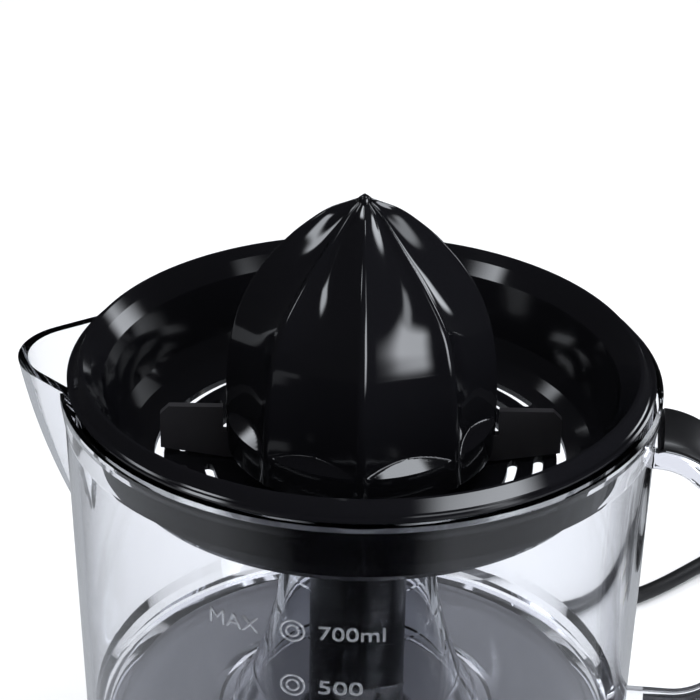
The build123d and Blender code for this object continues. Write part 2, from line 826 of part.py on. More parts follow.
with BuildPart() as large_cone:
    for height, main, second, depth in large_levels:
        with BuildSketch(Plane.XY.offset(flange_z + height)):
            with BuildLine():
                fluted_outline(main, second, depth, 2.2 * main / 33.6 + 0.2)
            make_face()
    loft()
    with BuildSketch(Plane.XZ):
        with BuildLine():
            Polyline(
                (0, flange_z + 43.9),
                (3.7, flange_z + 43.9),
                (2.3, flange_z + 45.2),
                (1.3, flange_z + 45.5),
                (1.1, flange_z + 46.1),
                (0.6, flange_z + 46.5),
                (0, flange_z + 46.6),
                close=True,
            )
        make_face()
    revolve(axis=Axis.Z)
    with BuildSketch(Plane.XZ):
        with BuildLine():
            Polyline(
                (0, cone_skirt_z),
                (33.4, cone_skirt_z),
                (33.4, flange_z - 14.6),
                (32.7, flange_z - 13.9),
                (28.4, flange_z - 12.8),
                (0, flange_z - 12.8),
                close=True,
            )
        make_face()
    revolve(axis=Axis.Z)
    with BuildSketch(Plane.XZ):
        with BuildLine():
            Polyline(
                (0, cone_skirt_z - 1),
                (27.2, cone_skirt_z - 1),
                (27.0, flange_z - 8),
                (26.0, flange_z + 5),
                (23.2, flange_z + 18),
                (19.4, flange_z + 26),
                (12.5, flange_z + 34),
                (5.0, flange_z + 37),
                (0, flange_z + 37),
                close=True,
            )
        make_face()
    revolve(axis=Axis.Z, mode=Mode.SUBTRACT)
    with BuildSketch(wiper_plane.offset(cone_skirt_z - 1)):
        Rectangle(80, 3.2)
    extrude(amount=notch_top - cone_skirt_z + 1, mode=Mode.SUBTRACT)
write(large_cone, "large_cone")

hex_play = 0.15
with BuildPart() as small_cone:
    for height, main, second, depth in small_levels:
        with BuildSketch(Plane.XY.offset(flange_z + height)):
            with BuildLine():
                fluted_outline(main, second, depth, 1.6 * main / 23 + 0.2)
            make_face()
    loft()
    with BuildSketch(Plane.XZ):
        with BuildLine():
            Polyline(
                (0, small_skirt_z - 1),
                (18.4, small_skirt_z - 1),
                (17.4, flange_z - 4),
                (14.0, flange_z + 4),
                (6.3, flange_z + 8),
                (0, flange_z + 8),
                close=True,
            )
        make_face()
    revolve(axis=Axis.Z, mode=Mode.SUBTRACT)
    with BuildSketch(Plane.XY.offset(bowl_floor + press_travel + 0.6)):
        Circle(6.3)
    extrude(amount=flange_z + 9 - bowl_floor - press_travel - 0.6)
    with BuildSketch(Plane.XY.offset(bowl_floor)):
        RegularPolygon(shaft_radius + hex_play, 6, rotation=cone_yaw)
    extrude(amount=shaft_top + 0.6 - bowl_floor, mode=Mode.SUBTRACT)
write(small_cone, "small_cone")

# ---------------------------------------------------------------- power cord

with BuildPart() as strain_relief:
    with BuildSketch(Plane.XZ.offset(-relief_end_y)):
        with Locations((0, cord_exit_z)):
            Circle(3.4)
    with BuildSketch(Plane.XZ.offset(-72.8)):
        with Locations((0, cord_exit_z)):
            Circle(5.4)
    loft()
    with BuildSketch(Plane.XZ.offset(-72.8)):
        with Locations((0, cord_exit_z)):
            Circle(6.4)
    extrude(amount=-2.0)
    with BuildSketch(Plane.XZ.offset(-69.0)):
        with Locations((0, cord_exit_z)):
            Circle(4.9)
    extrude(amount=-3.8)
    with BuildSketch(Plane.XZ.offset(-66.5)):
        with Locations((0, cord_exit_z)):
            Circle(6.4)
    extrude(amount=-2.5)
write(strain_relief, "strain_relief")

with BuildPart() as inner_cord:
    with BuildSketch(Plane.XZ.offset(-42)):
        with Locations((0, cord_exit_z)):
            Circle(cord_radius)
    extrude(amount=-24.5)
write(inner_cord, "inner_cord")

clamp_bar_z = cord_exit_z + cord_radius
with BuildPart() as cord_clamp:
    with BuildSketch(Plane.XY.offset(clamp_bar_z)):
        with Locations((0, clamp_y)):
            SlotOverall(26, 7)
        with Locations((-9, clamp_y), (9, clamp_y)):
            Circle(screw_radius, mode=Mode.SUBTRACT)
    extrude(amount=2.4)
write(cord_clamp, "cord_clamp")
clamp_screws = screw_group([(-9, clamp_y), (9, clamp_y)], clamp_bar_z + 2.4, 2.8, 1.6, 10.0, False)
write(clamp_screws, "clamp_screws")

cord_route = [
    (0, relief_end_y, cord_exit_z),
    (0.5, 110, 10.5),
    (3.8, 122.5, 4.6),
    (12, 133.5, cord_radius),
    (23, 140.5, cord_radius),
    (38, 143.5, cord_radius),
    (54, 145, cord_radius),
    (68, 150.5, cord_radius),
    (81.5, 160.2, cord_radius),
    (97.4, 178.3, cord_radius),
    (112.8, 196.6, cord_radius),
    (120.2, 206.1, cord_radius),
]
coil_x, coil_y_centre = coil_centre
plug_x = coil_x + 34.0
plug_rear_y = coil_y_centre - 31.0
plug_z = 7.0
tail_route = [
    (coil_x + 32.0, coil_y_centre - 8, cord_radius),
    (coil_x + 33.6, coil_y_centre - 19, cord_radius + 1.2),
    (plug_x, plug_rear_y, plug_z),
]


def cord_piece(route):
    """A round cord along straight runs joined by tangent arcs."""
    radii = corner_radii(route)
    with BuildPart() as tube:
        with BuildLine():
            path = FilletPolyline(*route, radius=radii)
        with BuildSketch(Plane(origin=path @ 0, z_dir=path % 0)):
            Circle(cord_radius)
        sweep(path=path)
    expected = pi * cord_radius**2 * path.length
    print("cord radii", [round(radius, 1) for radius in radii])
    print("cord length", round(path.length, 1), "volume", round(tube.part.volume), "of", round(expected))
    return tube


cord_tube = cord_piece(cord_route)
write(cord_tube, "cord_tube")
cord_tail = cord_piece(tail_route)
write(cord_tail, "cord_tail")

with BuildPart() as cord_coil:
    with BuildSketch(Plane.XZ):
        with Locations(((coil_inner + coil_outer) / 2, coil_height / 2)):
            RectangleRounded(coil_outer - coil_inner, coil_height, 2.4)
    revolve(axis=Axis.Z)
cord_coil.part = cord_coil.part.moved(Location((coil_x, coil_y_centre, 0)))
write(cord_coil, "cord_coil")

plug_length = 36.0
plug_thickness = 13.7
pin_spacing = 19.0
with BuildPart() as plug_body:
    with BuildSketch(Plane.XY.offset(plug_z - plug_thickness / 2)):
        with BuildLine():
            Polyline(
                (plug_x - 5, plug_rear_y),
                (plug_x + 5, plug_rear_y),
                (plug_x + 9, plug_rear_y - 14),
                (plug_x + 17.6, plug_rear_y - 27),
                (plug_x + 17.6, plug_rear_y - plug_length),
                (plug_x - 17.6, plug_rear_y - plug_length),
                (plug_x - 17.6, plug_rear_y - 27),
                (plug_x - 9, plug_rear_y - 14),
                close=True,
            )
        make_face()
    extrude(amount=plug_thickness)
    fillet(plug_body.edges().filter_by(Axis.Z), 2.0)
    fillet(plug_body.edges().group_by(Axis.Z)[-1], 2.5)
    fillet(plug_body.edges().group_by(Axis.Z)[0], 2.5)
    with BuildSketch(Plane.XZ.offset(-(plug_rear_y - plug_length))):
        with Locations((plug_x - pin_spacing / 2, plug_z), (plug_x + pin_spacing / 2, plug_z)):
            Circle(2.0)
    extrude(amount=-8, mode=Mode.SUBTRACT)
write(plug_body, "plug_body")

with BuildPart() as plug_pins:
    with BuildSketch(Plane.XZ.offset(-(plug_rear_y - plug_length) - 8)):
        with Locations((plug_x - pin_spacing / 2, plug_z), (plug_x + pin_spacing / 2, plug_z)):
            Circle(2.0)
    extrude(amount=27)
    fillet(plug_pins.edges().group_by(Axis.Y)[0], 1.2)
write(plug_pins, "plug_pins")
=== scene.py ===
import json
from math import cos, pi, radians, sin, tan

import bmesh
import bpy
from mathutils import Matrix, Vector


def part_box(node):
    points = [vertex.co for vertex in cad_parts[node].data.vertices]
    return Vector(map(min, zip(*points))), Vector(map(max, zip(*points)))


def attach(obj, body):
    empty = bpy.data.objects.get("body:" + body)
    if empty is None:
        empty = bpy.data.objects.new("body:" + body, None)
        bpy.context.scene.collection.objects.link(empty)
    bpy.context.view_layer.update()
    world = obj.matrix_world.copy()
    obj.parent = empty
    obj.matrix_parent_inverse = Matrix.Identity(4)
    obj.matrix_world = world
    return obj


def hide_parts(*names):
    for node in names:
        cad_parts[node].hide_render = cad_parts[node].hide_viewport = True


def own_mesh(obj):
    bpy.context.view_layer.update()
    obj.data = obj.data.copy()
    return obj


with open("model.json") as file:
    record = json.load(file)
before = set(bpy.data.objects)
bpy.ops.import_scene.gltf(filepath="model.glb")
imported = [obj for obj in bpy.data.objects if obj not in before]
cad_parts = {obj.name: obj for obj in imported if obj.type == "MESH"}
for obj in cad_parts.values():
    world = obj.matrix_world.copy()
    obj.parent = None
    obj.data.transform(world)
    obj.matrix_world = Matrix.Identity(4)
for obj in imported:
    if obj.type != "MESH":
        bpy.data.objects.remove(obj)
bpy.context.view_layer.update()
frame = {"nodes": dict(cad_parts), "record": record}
MM = 0.001


# ---------------------------------------------------------------- sizes taken from the frame
def centre(node):
    low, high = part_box(node)
    return (Vector(low) + Vector(high)) / 2


flange_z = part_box("large_cone")[1][2] - 46.6 * MM  # the cone's tip stands 46.6 mm above the flange
cone_yaw = radians(6.0)


# ---------------------------------------------------------------- camera
camera_yaw = 6.0  # degrees, from looking along +Y


def make_camera():
    yaw, elevation, roll = radians(camera_yaw), radians(27.75), radians(0.9)
    distance, focal_length = 0.6192, 129.2
    left_shift, up_shift = 3.0 * MM, 4.3 * MM  # from the middle of the flange to the picture's middle
    right = Vector((cos(yaw), sin(yaw), 0))
    forward = Vector((-sin(yaw) * cos(elevation), cos(yaw) * cos(elevation), -sin(elevation)))
    up = right.cross(forward)
    data = bpy.data.cameras.new("camera")
    data.sensor_width = 36
    data.lens = focal_length
    data.clip_start = 0.01
    camera = bpy.data.objects.new("camera", data)
    bpy.context.collection.objects.link(camera)
    turn = Matrix((right, up, -forward)).transposed() @ Matrix.Rotation(roll, 3, "Z")
    aim = Vector((0, 0, flange_z)) - left_shift * right + up_shift * up
    place = aim - distance * forward
    camera.matrix_world = Matrix.Translation(place) @ turn.to_4x4()
    bpy.context.scene.camera = camera


make_camera()

# ---------------------------------------------------------------- cord
cord_radius = 2.5 * MM
coil_outer, coil_inner, layer_rise = 33.4 * MM, 22.2 * MM, 5.25 * MM
# from the strain relief to the coil, in millimetres: down to the table, then along it
cord_route = [
    (0, 98, 14),
    (0.5, 110, 10.5),
    (3.8, 122.5, 4.6),
    (12, 133.5, 2.5),
    (23, 140.5, 2.5),
    (38, 143.5, 2.5),
    (54, 145, 2.5),
    (68, 150.5, 2.5),
    (81.5, 160.2, 2.5),
    (97.4, 178.3, 2.5),
    (112.8, 196.6, 2.5),
]


def coil_points(middle, outer, inner, rise):
    """Two layers of turns: inward on the table, up, then outward on top, clockwise from above."""
    start_angle, whole_turns, per_turn = 142.0, 4, 18
    turns = whole_turns + start_angle / 360
    down_end, up_start = 2.1, 2.3  # turns done where the lower layer ends and the upper one begins
    count = int(turns * per_turn)
    points = []
    for step in range(count + 1):
        done = turns * step / count
        if done < down_end:
            share, height = done / down_end, 0.0
        elif done < up_start:
            share, height = 1.0, (done - down_end) / (up_start - down_end)
        else:
            share, height = 1 - (done - up_start) / (turns - up_start), 1.0
        radius = outer + (inner - outer) * share
        angle = radians(start_angle - 360 * done)
        spot = (radius * cos(angle), radius * sin(angle), cord_radius + rise * height)
        points.append(middle + Vector(spot))
    return points


def make_cord():
    coil = centre("cord_coil")
    middle = Vector((coil.x, coil.y, 0))
    plug_low, plug_high = (Vector(corner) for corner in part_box("plug_body"))
    plug_rear = Vector(((plug_low.x + plug_high.x) / 2, plug_high.y, (plug_low.z + plug_high.z) / 2))
    points = [Vector(point) * MM for point in cord_route]
    points += coil_points(middle, coil_outer, coil_inner, layer_rise)
    points += [plug_rear + Vector(step) * MM for step in ((-0.5, 18, 0.6), (0, 8, 0), (0, -2, 0))]
    curve = bpy.data.curves.new("power_cord", "CURVE")
    curve.dimensions = "3D"
    # Blender pads a curve's box by each point's radius, so the points hold the cord's radius in metres
    curve.bevel_depth = 1.0
    curve.bevel_resolution = 6
    curve.resolution_u = 8
    spline = curve.splines.new("NURBS")
    spline.points.add(len(points) - 1)
    for control, point in zip(spline.points, points):
        control.co = (*point, 1)
        control.radius = cord_radius
    spline.order_u = 3
    spline.use_endpoint_u = True
    cord = bpy.data.objects.new("power_cord", curve)
    bpy.context.collection.objects.link(cord)
    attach(cord, "base")
    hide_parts("cord_tube", "cord_tail", "cord_coil")
    return cord


power_cord = make_cord()


# ---------------------------------------------------------------- materials
def new_material(name, colour, roughness, metallic=0.0):
    material = bpy.data.materials.new(name)
    material.use_nodes = True
    shader = material.node_tree.nodes["Principled BSDF"]
    shader.inputs["Base Color"].default_value = (*colour, 1)
    shader.inputs["Roughness"].default_value = roughness
    shader.inputs["Metallic"].default_value = metallic
    return material, material.node_tree.nodes, material.node_tree.links, shader


def add_noise(nodes, links, scale, detail=2.0, stretch=(1, 1, 1)):
    """Noise in the object's own coordinates."""
    place = nodes.new("ShaderNodeTexCoord")
    mapping = nodes.new("ShaderNodeMapping")
    mapping.inputs["Scale"].default_value = stretch
    noise = nodes.new("ShaderNodeTexNoise")
    noise.inputs["Scale"].default_value = scale
    noise.inputs["Detail"].default_value = detail
    links.new(place.outputs["Object"], mapping.inputs["Vector"])
    links.new(mapping.outputs["Vector"], noise.inputs["Vector"])
    return noise.outputs["Fac"]


def vary(nodes, links, source, low, high, target):
    """Turns a noise into a range of values on a shader's input."""
    spread = nodes.new("ShaderNodeMapRange")
    spread.inputs["From Min"].default_value = 0.3
    spread.inputs["From Max"].default_value = 0.7
    spread.inputs["To Min"].default_value = low
    spread.inputs["To Max"].default_value = high
    links.new(source, spread.inputs["Value"])
    links.new(spread.outputs["Result"], target)


def bump(nodes, links, source, shader, strength, height):
    node = nodes.new("ShaderNodeBump")
    node.inputs["Strength"].default_value = strength
    node.inputs["Distance"].default_value = height
    links.new(source, node.inputs["Height"])
    links.new(node.outputs["Normal"], shader.inputs["Normal"])


def moulded(name, colour, smooth, rough, grain_scale, grain_height, coat=0.0):
    """Moulded plastic: uneven gloss and a fine surface grain."""
    material, nodes, links, shader = new_material(name, colour, (smooth + rough) / 2)
    vary(nodes, links, add_noise(nodes, links, 60.0, 3.0), smooth, rough, shader.inputs["Roughness"])
    bump(nodes, links, add_noise(nodes, links, grain_scale, 3.0), shader, 0.25, grain_height)
    shader.inputs["Coat Weight"].default_value = coat
    shader.inputs["Coat Roughness"].default_value = 0.04
    return material


def metal(name, colour, smooth, rough, stretch):
    """Metal with uneven gloss and a fine grain; a small stretch draws both out along that axis."""
    material, nodes, links, shader = new_material(name, colour, rough, 1.0)
    uneven = add_noise(nodes, links, 900.0, 2.0, stretch)
    vary(nodes, links, uneven, smooth, rough, shader.inputs["Roughness"])
    bump(nodes, links, add_noise(nodes, links, 1500.0, 1.0, stretch), shader, 0.15, 0.00003)
    return material


def clear_plastic():
    material, nodes, links, shader = new_material("clear_plastic", (0.91, 0.92, 0.945), 0.02)
    shader.inputs["Transmission Weight"].default_value = 1.0
    shader.inputs["IOR"].default_value = 1.5
    vary(nodes, links, add_noise(nodes, links, 35.0, 2.0), 0.008, 0.03, shader.inputs["Roughness"])
    bump(nodes, links, add_noise(nodes, links, 28.0, 1.0), shader, 0.05, 0.0003)
    return material


def striped(nodes, links, shader, direction, scale, distortion, dark, light, strength):
    """Fine bands across a surface, in colour and in height; dark and light are (position, colour)."""
    place = nodes.new("ShaderNodeTexCoord")
    wave = nodes.new("ShaderNodeTexWave")
    wave.bands_direction = direction
    wave.inputs["Scale"].default_value = scale
    wave.inputs["Distortion"].default_value = distortion
    links.new(place.outputs["Object"], wave.inputs["Vector"])
    ramp = nodes.new("ShaderNodeValToRGB")
    for element, (position, colour) in zip(ramp.color_ramp.elements, (dark, light)):
        element.color = (*colour, 1)
        element.position = position
    links.new(wave.outputs["Fac"], ramp.inputs["Fac"])
    links.new(ramp.outputs["Color"], shader.inputs["Base Color"])
    bump(nodes, links, wave.outputs["Fac"], shader, strength, 0.0002)


def laminated():
    """Edges of stacked steel sheets: fine dark lines across the stack."""
    material, nodes, links, shader = new_material("lamination", (0.3, 0.3, 0.32), 0.42, 0.9)
    dark, light = (0.15, (0.06, 0.06, 0.065)), (0.4, (0.36, 0.36, 0.38))
    striped(nodes, links, shader, "Z", 320.0, 0.4, dark, light, 0.3)
    return material


def wound():
    """Copper wire under varnish: turns run round the coil."""
    material, nodes, links, shader = new_material("winding", (0.52, 0.2, 0.07), 0.3, 0.6)
    dark, light = (0.0, (0.16, 0.05, 0.015)), (1.0, (0.62, 0.26, 0.09))
    striped(nodes, links, shader, "Y", 400.0, 0.6, dark, light, 0.5)
    return material


def base_casing():
    """Gloss black casing, coloured grey in a band round the height of its top deck, under the jug; the ramp
    runs over 10 mm of height.
    """
    ramp_low, ramp_high = 60 * MM, 70 * MM
    material, nodes, links, shader = new_material("base_shell", (0.006, 0.006, 0.007), 0.16)
    place = nodes.new("ShaderNodeTexCoord")
    split = nodes.new("ShaderNodeSeparateXYZ")
    links.new(place.outputs["Object"], split.inputs["Vector"])
    band = nodes.new("ShaderNodeValToRGB")
    scale = nodes.new("ShaderNodeMapRange")
    scale.inputs["From Min"].default_value = ramp_low
    scale.inputs["From Max"].default_value = ramp_high
    links.new(split.outputs["Z"], scale.inputs["Value"])
    links.new(scale.outputs["Result"], band.inputs["Fac"])
    black, grey = (0.006, 0.006, 0.007, 1), (0.24, 0.24, 0.265, 1)
    ramp = band.color_ramp
    ramp.elements[0].color, ramp.elements[0].position = black, 0.16
    ramp.elements[1].color, ramp.elements[1].position = grey, 0.19
    ramp.elements.new(0.3).color = grey
    ramp.elements.new(0.5).color = black
    links.new(band.outputs["Color"], shader.inputs["Base Color"])
    vary(nodes, links, add_noise(nodes, links, 60.0, 3.0), 0.14, 0.22, shader.inputs["Roughness"])
    bump(nodes, links, add_noise(nodes, links, 900.0, 3.0), shader, 0.25, 0.00003)
    return material


finishes = {
    "gloss_black": moulded("gloss_black", (0.004, 0.004, 0.005), 0.05, 0.11, 30.0, 0.0002, 0.2),
    "satin_grey": moulded("satin_grey", (0.018, 0.017, 0.02), 0.42, 0.52, 2500.0, 0.00003),
    "clear_plastic": clear_plastic(),
    "grip": moulded("grip", (0.008, 0.008, 0.009), 0.3, 0.4, 1800.0, 0.00004),
    "base_shell": base_casing(),
    "base_shell_inner": moulded("base_shell_inner", (0.014, 0.014, 0.016), 0.4, 0.5, 1500.0, 0.00004),
    "rubber": moulded("rubber", (0.022, 0.022, 0.024), 0.6, 0.75, 1200.0, 0.00005),
    "steel": metal("steel", (0.62, 0.62, 0.65), 0.22, 0.36, (1, 1, 0.1)),
    "lamination": laminated(),
    "winding": wound(),
    "zinc": metal("zinc", (0.7, 0.7, 0.72), 0.3, 0.45, (1, 0.15, 1)),
    "bronze": metal("bronze", (0.56, 0.38, 0.2), 0.35, 0.5, (1, 1, 1)),
    "switch_body": moulded("switch_body", (0.03, 0.03, 0.035), 0.35, 0.45, 1500.0, 0.00003),
    "cord": moulded("cord", (0.008, 0.008, 0.009), 0.34, 0.46, 1400.0, 0.00004),
    "brass": metal("brass", (0.8, 0.76, 0.66), 0.12, 0.24, (1, 0.1, 1)),
    "ferrite": moulded("ferrite", (0.05, 0.05, 0.055), 0.5, 0.65, 900.0, 0.00008),
    "gear_plastic": moulded("gear_plastic", (0.82, 0.8, 0.74), 0.28, 0.4, 1200.0, 0.00003),
    "shaft_plastic": moulded("shaft_plastic", (0.02, 0.02, 0.022), 0.25, 0.36, 1200.0, 0.00003),
    "button_plastic": moulded("button_plastic", (0.6, 0.05, 0.04), 0.25, 0.35, 1200.0, 0.00003),
}


def set_material(piece, slot):
    piece.data.materials.clear()
    piece.data.materials.append(finishes[slot])


for entry in frame["record"]["subparts"]:
    node = frame["nodes"][entry["node"]]
    for holder in node.material_slots:
        holder.material = finishes[entry["material_slot"]]
set_material(power_cord, "cord")


# ---------------------------------------------------------------- mesh helpers
def make_piece(name, build, body, slot, smooth_angle=30.0):
    """A mesh piece from a bmesh builder, shaded smooth up to an angle."""
    mesh = bpy.data.meshes.new(name)
    shape = bmesh.new()
    build(shape)
    bmesh.ops.recalc_face_normals(shape, faces=shape.faces)
    for edge in shape.edges:
        sharp = len(edge.link_faces) == 2 and edge.calc_face_angle(0.0) > radians(smooth_angle)
        edge.smooth = not sharp
    for face in shape.faces:
        face.smooth = True
    shape.to_mesh(mesh)
    shape.free()
    piece = bpy.data.objects.new(name, mesh)
    bpy.context.collection.objects.link(piece)
    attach(piece, body)
    set_material(piece, slot)
    return piece


def skin(shape, rings):
    """Quads between closed rings that have the same number of corners."""
    for low, high in zip(rings, rings[1:]):
        for index, corner in enumerate(low):
            after = (index + 1) % len(low)
            shape.faces.new((corner, low[after], high[after], high[index]))


# ---------------------------------------------------------------- large reamer cone
# height above the flange plane, radius of the four main ribs, of the four lower ribs, flute depth
cone_levels = [
    (-20.4, 33.5, 32.9, 3.9),
    (-9.0, 33.6, 32.6, 3.9),
    (0.0, 33.3, 31.9, 3.9),
    (7.0, 32.5, 31.1, 3.8),
    (13.1, 31.2, 29.9, 3.7),
    (19.9, 28.9, 27.4, 3.5),
    (28.2, 24.2, 20.9, 3.1),
    (35.7, 17.9, 13.4, 2.5),
    (40.8, 12.0, 8.2, 1.8),
    (43.4, 8.0, 5.2, 1.2),
    (45.1, 3.6, 2.4, 0.6),
]
ledge_z = -12.4  # where the flutes end in a plain band, relative to the flange
ledge_rise = 2.2  # height of the sloping shelf at the foot of each flute
band_dip = 0.4  # the deepest dip that is left in the plain band
mouth_radius = 27.6
widest = 33.6  # the cone's largest radius
crest_half, crest_least = 1.1, 0.12  # a crest's half width is their sum at the widest, less higher up
crest_drop = 0.35  # how far a crest's edges lie below its middle
crest_steps, flute_steps = 6, 18
corners_round = 8 * (crest_steps + flute_steps)


def smooth_step(value):
    t = min(max(value, 0.0), 1.0)
    return t * t * (3 - 2 * t)


def blend_levels(height):
    """The cone's radii and flute depth at a height, on a smooth curve through the levels."""
    last = len(cone_levels) - 2
    span = next((i for i in range(last) if height <= cone_levels[i + 1][0]), last)
    around = [cone_levels[min(max(span + k, 0), last + 1)] for k in (-1, 0, 1, 2)]
    low, high = around[1][0], around[2][0]
    width = high - low
    t = min(max((height - low) / width, 0), 1)
    values = []
    for column in (1, 2, 3):
        before, start, end, after = (level[column] for level in around)
        slope_in = (end - before) / (high - around[0][0]) * width
        slope_out = (after - start) / (around[3][0] - low) * width
        value = (
            (2 * t**3 - 3 * t**2 + 1) * start
            + (t**3 - 2 * t**2 + t) * slope_in
            + (3 * t**2 - 2 * t**3) * end
            + (t**3 - t**2) * slope_out
        )
        values.append(value)
    return values


def fluted_ring(shape, height):
    """One level of the cone: eight flat-crested ribs with hollow flutes between them."""
    main, second, depth = blend_levels(height)
    shelf = band_dip + depth * min(max((height - ledge_z) / ledge_rise, 0.0), 1.0)
    corners = []
    for rib in range(8):
        here, there = (main, second) if rib % 2 == 0 else (second, main)
        half = (crest_half * here / widest + crest_least) / here
        other_half = (crest_half * there / widest + crest_least) / there
        rib_angle = cone_yaw + rib * pi / 4
        for step in range(crest_steps):
            across = 2 * step / crest_steps - 1
            corners.append((here - crest_drop * across**4, rib_angle + half * across))
        start, end = rib_angle + half, rib_angle + pi / 4 - other_half
        for step in range(flute_steps):
            share = step / flute_steps
            dip = min(crest_drop + depth * (1 - (2 * share - 1) ** 2) ** 0.9, shelf)
            radius = here + (there - here) * smooth_step(share) - dip
            corners.append((radius, start + (end - start) * share))
    return [shape.verts.new(on_axis(radius, angle, height)) for radius, angle in corners]


def on_axis(radius, angle, height):
    """A point by radius and height above the flange in millimetres."""
    return (radius * MM * cos(angle), radius * MM * sin(angle), flange_z + height * MM)


def round_ring(shape, height, radius):
    step = 2 * pi / corners_round
    spots = [on_axis(radius, cone_yaw + step * index, height) for index in range(corners_round)]
    return [shape.verts.new(spot) for spot in spots]


def build_large_cone(shape):
    """The hollow inside, the fluted outside and the tip's small nub; hollow and nub are (height, radius)."""
    low, high, rows = cone_levels[0][0], cone_levels[-1][0], 84
    shelf_top = ledge_z + ledge_rise
    hollow = [(37.0, 0.5), (36.4, 6.0), (33.4, 12.4), (26.0, 18.6), (18.0, 22.8)]
    hollow += [(5.0, 25.6), (-8.0, 26.9), (low + 0.5, mouth_radius)]
    rings = [round_ring(shape, height, radius) for height, radius in hollow]
    heights = [low + (ledge_z - low) * row / 5 for row in range(5)]
    heights += [ledge_z + ledge_rise * row / 10 for row in range(10)]
    climbs = [1 - (1 - row / rows) ** 1.4 for row in range(rows + 1)]
    heights += [shelf_top + (high - shelf_top) * climb for climb in climbs]
    rings += [fluted_ring(shape, height) for height in heights]
    nub = [(44.7, 1.9), (44.9, 1.35), (45.7, 1.25), (46.2, 1.0), (46.5, 0.5)]
    rings += [round_ring(shape, height, radius) for height, radius in nub]
    skin(shape, rings)
    shape.faces.new(rings[0][::-1])
    shape.faces.new(rings[-1])


large_cone = make_piece("reamer_cone", build_large_cone, "large_cone", "gloss_black", 50.0)
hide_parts("large_cone")


# ---------------------------------------------------------------- grip along the handle
def rounded_line(points, bends, steps=10):
    """A flat line through points with each inner corner turned into an arc of the given radius."""
    line = [Vector(points[0])]
    for before, here, after, bend in zip(points, points[1:], points[2:], bends):
        here = Vector(here)
        into, out = (Vector(before) - here).normalized(), (Vector(after) - here).normalized()
        half = into.angle(out) / 2
        middle = here + (into + out).normalized() * bend / sin(half)
        start = here + into * bend / tan(half) - middle
        whole = pi - 2 * half
        side = 1 if into.cross(out) > 0 else -1
        for step in range(steps + 1):
            angle = -side * whole * step / steps
            line.append(middle + Matrix.Rotation(angle, 2) @ start)
    line.append(Vector(points[-1]))
    return line


def build_grip(shape):
    """A band with a crowned outside, wrapped round the clear handle; x and z in millimetres."""
    handle = [(75.5, 153.0), (81.0, 153.0), (108.0, 129.0), (108.0, 88.2), (93.0, 64.2), (75.5, 64.2)]
    line = rounded_line(handle, [20.0, 26.0, 26.0, 20.0])
    half_width, edge, crown, steps = 9.95, 0.7, 1.9, 24
    least, end_inset = 0.02, 0.35
    profile = []
    for step in range(steps + 1):
        across = 2 * step / steps - 1
        profile.append((half_width * across, edge + crown * (1 - abs(across) ** 2.6) ** 0.6))
    profile += [(half_width, least), (-half_width, least)]
    rings = []
    for index, point in enumerate(line):
        ahead = line[min(index + 1, len(line) - 1)] - line[max(index - 1, 0)]
        ahead.normalize()
        outward = Vector((-ahead.y, ahead.x))
        inset = end_inset if index in (0, len(line) - 1) else 0.0
        ring = []
        for y, lift in profile:
            spot = point + outward * max(lift - inset, least)
            ring.append(shape.verts.new((spot.x * MM, y * (1 - inset / 12) * MM, spot.y * MM)))
        rings.append(ring)
    skin(shape, rings)
    shape.faces.new(rings[0][::-1])
    shape.faces.new(rings[-1])


grip = make_piece("handle_grip_skin", build_grip, "jug", "grip", 40.0)
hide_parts("handle_grip")


# ---------------------------------------------------------------- press spring
spring_low, spring_high = (Vector(corner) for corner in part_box("press_spring"))
spring_height = spring_high.z - spring_low.z


def build_spring(shape):
    """Four turns of round wire that fill the height of the CAD spring."""
    wire, turns, steps, sides = 0.5 * MM, 4, 40, 12
    middle = (spring_low + spring_high) / 2
    reach = (spring_high.x - spring_low.x) / 2 - wire
    rings = []
    for step in range(turns * steps + 1):
        share = step / (turns * steps)
        turn = 2 * pi * turns * share
        height = spring_low.z + wire + (spring_height - 2 * wire) * share
        ring = []
        for side in range(sides):
            around = 2 * pi * side / sides
            radius = reach + wire * cos(around)
            x, y = middle.x + radius * cos(turn), middle.y + radius * sin(turn)
            ring.append(shape.verts.new((x, y, height + wire * sin(around))))
        rings.append(ring)
    skin(shape, rings)
    shape.faces.new(rings[0][::-1])
    shape.faces.new(rings[-1])


spring = make_piece("press_spring_wire", build_spring, "base", "steel", 60.0)
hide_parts("press_spring")
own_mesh(spring)


# ---------------------------------------------------------------- raised marks on the jug
def frosted_mark():
    """The mould is etched where it forms the marks, so they scatter a little light."""
    material, nodes, links, shader = new_material("frosted_mark", (0.86, 0.88, 0.92), 0.2)
    shader.inputs["Transmission Weight"].default_value = 0.88
    shader.inputs["IOR"].default_value = 1.5
    vary(nodes, links, add_noise(nodes, links, 400.0, 2.0), 0.12, 0.22, shader.inputs["Roughness"])
    bump(nodes, links, add_noise(nodes, links, 2200.0, 1.0), shader, 0.1, 0.00004)
    return material


mark_finish = frosted_mark()


# (height, radius) of the jug's outer wall in millimetres: its foot, its middle and its top
wall_foot, wall_middle, wall_top = (68.2, 70.6), (113.0, 72.0), (154.0, 73.2)


def wall_radius(height):
    """The jug's outer radius at a height in millimetres."""
    low, high = (wall_middle, wall_top) if height > wall_middle[0] else (wall_foot, wall_middle)
    return low[1] + (height - low[0]) * (high[1] - low[1]) / (high[0] - low[0])


def wrap(x, y, lift, azimuth, height):
    """A point of a flat mark laid on the jug's wall: x along it, y up it, lift out of it, all in mm."""
    radius = wall_radius(height + y) + lift
    angle = azimuth + x / wall_radius(height)
    return Vector((radius * cos(angle), radius * sin(angle), height + y)) * MM


